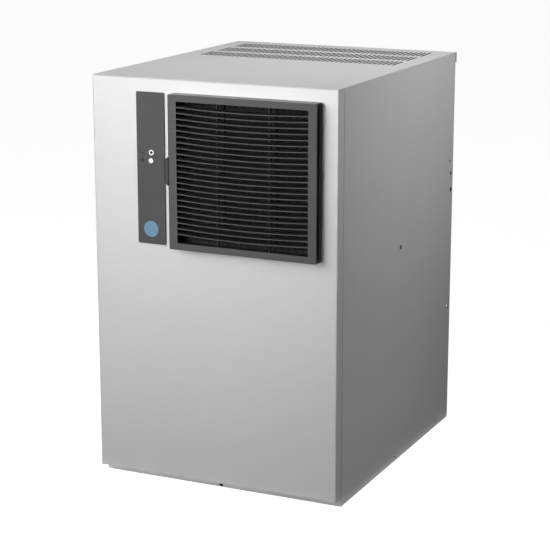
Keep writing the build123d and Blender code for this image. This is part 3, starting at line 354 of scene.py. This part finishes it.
RIGHT, FRONT = Vector((1, 0, 0)), Vector((0, -1, 0))
BACK, UP = Vector((0, 1, 0)), Vector((0, 0, 1))
SIDES = (-1, 1)
rear_screws = [(at(side * 271.5, REAR, z), BACK) for side in SIDES for z in (60, 820)]
side_screws = [(at(side * HALF_WIDTH, y, z), RIGHT * side)
               for side in SIDES for y, z in ((667, 281), (335, 11.5), (611, 13))]
roof_screws = [(at(25, 481, ROOF), UP)]
middle_screws = [(at(side * HALF_WIDTH, 353, 490), RIGHT * side) for side in SIDES]
base_screws = [(at(0, 29.3, 6), FRONT)]
plated = rear_screws + side_screws + roof_screws
blackened = middle_screws + base_screws
for name, spots, slot, node in (
    ("pan_heads_plated", plated, "zinc_screws", "panel_screws"),
    ("pan_heads_black", blackened, "black_screws", "dark_screws"),
):
    heads = bmesh.new()
    for place, outward in spots:
        pan_head(heads, place, outward)
    bmesh.ops.remove_doubles(heads, verts=heads.verts, dist=1e-6)
    bmesh.ops.dissolve_degenerate(heads, edges=heads.edges, dist=1e-6)
    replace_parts(piece(name, heads, slot, "cabinet"), node)
print("screw heads:", len(plated) + len(blackened))

# %% [markdown]
# **Power symbol.** The power button carries a white printed ring. It is a thin ring that stands 0.05 mm
# proud of the cap, spun from a small rectangle.

# %% Printed ring on the power button
RING_OUTER, RING_INNER, PRINT_THICK = 0.0058, 0.0033, 0.00005


def flat_ring(shape, place, outer, inner, thick):
    """A flat ring in the XZ plane, spun about Y from a rectangle."""
    corners = [(outer, 0), (inner, 0), (inner, -thick), (outer, -thick)]
    verts = [shape.verts.new(place + Vector((r, y, 0))) for r, y in corners]
    edges = [shape.edges.new((verts[i], verts[(i + 1) % 4])) for i in range(4)]
    bmesh.ops.spin(shape, geom=verts + edges, cent=place, axis=(0, 1, 0), angle=math.tau, steps=40,
                   use_merge=True, dvec=(0, 0, 0))


ring = bmesh.new()
flat_ring(ring, at(-140, -4, 725), RING_OUTER, RING_INNER, PRINT_THICK)
printed = piece("power_ring", ring, "white_lens", "power_button")
print("faces in the printed ring:", len(printed.data.polygons))

# %% [markdown]
# **Blank badge.** The round badge low on the control plate is a plain disc of blue vinyl.

# %% Blank badge
BADGE_RADIUS, BADGE_THICK = 0.017, 0.0002
badge = bmesh.new()
upright = Matrix.Translation(at(-143.5, -3.0, 562.5)) @ Matrix.Rotation(math.pi / 2, 4, "X")
bmesh.ops.create_circle(badge, cap_ends=True, segments=48, radius=BADGE_RADIUS, matrix=upright)
raised = bmesh.ops.extrude_face_region(badge, geom=badge.faces[:])
front_verts = [item for item in raised["geom"] if isinstance(item, bmesh.types.BMVert)]
bmesh.ops.translate(badge, vec=(0, -BADGE_THICK, 0), verts=front_verts)
finishes["badge_print"] = grained("blue_vinyl", "#64879E", "#567A93", 0.4, 1.0, 0.004)
disc = piece("blank_badge", badge, "white_lens", "cabinet")
disc.data.materials[0] = finishes["badge_print"]
print("badge's width in millimetres:", 2000 * BADGE_RADIUS)

# %% [markdown]
# **Studio.** The machine stands on a plain pale floor. To the camera the floor is nearly white, with the
# machine's soft shadow. To the machine it is a darker matt grey, which keeps the steel's lower part from
# being washed out, with a paler card right under the cabinet. A faint noise keeps the floor from being
# flat.

# %% Floor
FLOOR_HALF = 12
CARD_X, CARD_Y = 0.3, 0.38
SPECKS_PER_METRE = 60
floor_mesh = bmesh.new()
bmesh.ops.create_grid(floor_mesh, x_segments=1, y_segments=1, size=FLOOR_HALF)
ground = bpy.data.meshes.new("floor")
floor_mesh.to_mesh(ground)
floor_mesh.free()
floor = bpy.data.objects.new("floor", ground)
scene.collection.objects.link(floor)
floor_paint, tree = blank("pale_floor")
rays = add(tree, "ShaderNodeLightPath")
place = add(tree, "ShaderNodeTexCoord").outputs["Object"]
card = inside(tree, place, (-CARD_X, -CARD_Y, -1), (CARD_X, CARD_Y, 1), 0.04)
specks = add(tree, "ShaderNodeTexNoise", {"Scale": SPECKS_PER_METRE, "Detail": 3.0}, {"Vector": place})
dull = add(tree, "ShaderNodeMapRange", {"To Min": 0.15, "To Max": 0.19}, {"Value": specks.outputs["Fac"]})
tone = add(tree, "ShaderNodeMapRange", {"To Max": 0.6}, {"Value": card, "To Min": dull.outputs["Result"]})
matt = add(tree, "ShaderNodeBsdfDiffuse", None, {"Color": tone.outputs["Result"]})
glow = add(tree, "ShaderNodeEmission", {"Strength": 0.94})
lit = add(tree, "ShaderNodeAddShader", None, {0: matt.outputs[0], 1: glow.outputs[0]})
seen = add(tree, "ShaderNodeMixShader", None,
           {0: rays.outputs["Is Camera Ray"], 1: matt.outputs[0], 2: lit.outputs[0]})
add(tree, "ShaderNodeOutputMaterial", None, {"Surface": seen.outputs[0]})
ground.materials.append(floor_paint)
print("floor in metres:", 2 * FLOOR_HALF)

# %% [markdown]
# The world is a soft grey light for the machine, and plain white where the camera looks past it or through
# the lens.

# %% World
world = bpy.data.worlds.new("studio")
scene.world = world
world.use_nodes = True
tree = world.node_tree
tree.nodes.clear()
rays = add(tree, "ShaderNodeLightPath")
direct = add(tree, "ShaderNodeMath", {"operation": "MAXIMUM"},
             {0: rays.outputs["Is Camera Ray"], 1: rays.outputs["Is Transmission Ray"]})
soft = add(tree, "ShaderNodeBackground", {"Color": (1, 1, 1, 1), "Strength": 0.17})
white = add(tree, "ShaderNodeBackground", {"Color": (1, 1, 1, 1), "Strength": 1.0})
either = add(tree, "ShaderNodeMixShader", None,
             {0: direct.outputs[0], 1: soft.outputs[0], 2: white.outputs[0]})
add(tree, "ShaderNodeOutputWorld", None, {"Surface": either.outputs[0]})

# %% [markdown]
# Five soft lamps. The key, large and high at the front left, gives the front its slow fade from top left
# to bottom right. The brow, in front, lifts the upper front. The side lamp gives the right wall its fade
# from the top down, and the roof lamp lights the roof. Their powers were fitted to the photograph's
# brightness at 43 places, then nudged. The rear lamp lights the back for a view from behind. Each
# row gives a lamp's name, its place, aim and size in metres, its watts, and its spread in degrees.

# %% Lamps


def soft_box(name, place, aim, size, watts, spread):
    lamp = bpy.data.lights.new(name, "AREA")
    lamp.shape = "SQUARE"
    lamp.size = size
    lamp.energy = watts
    lamp.spread = math.radians(spread)
    item = bpy.data.objects.new(name, lamp)
    item.location = place
    item.rotation_euler = (Vector(aim) - Vector(place)).to_track_quat("-Z", "Y").to_euler()
    scene.collection.objects.link(item)


lamps = (
    ("key", (-1.6, -2.3, 2.2), (0, -0.2, 0.6), 1.9, 69, 180),
    ("brow", (-0.45, -2.5, 1.15), (-0.22, -0.34, 0.6), 1.2, 4.3, 50),
    ("side", (1.5, 0.6, 1.9), (0.28, 0.1, 0.95), 0.8, 5.4, 60),
    ("roof", (-0.3, 0.2, 2.6), (0, 0.1, 0.8), 1.2, 2.9, 60),
    ("rear", (-1.2, 2.4, 0.42), (0, 0.34, 0.42), 0.7, 5, 90),
)
for lamp_row in lamps:
    soft_box(*lamp_row)
print("lamps:", [lamp_row[0] for lamp_row in lamps])

# %% [markdown]
# The camera stands to the right of the front and a little above the roof, with the long lens of a product
# photograph. Its place was worked out from the corners of the cabinet.

# %% Camera
PHOTO_PIXELS, FOCAL_PIXELS = 550, 1754.5
PITCH_DOWN, TURN = 13.87, 24.95
lens = bpy.data.cameras.new("camera")
lens.lens = FOCAL_PIXELS / PHOTO_PIXELS * lens.sensor_width
camera = bpy.data.objects.new("camera", lens)
camera.location = at(1608.7, -3154.3, 1350.8)
camera.rotation_euler = (math.radians(90 - PITCH_DOWN), 0, math.radians(TURN))
scene.collection.objects.link(camera)
scene.camera = camera
scene.view_settings.view_transform = "Standard"
print("lens in millimetres:", round(lens.lens, 1))
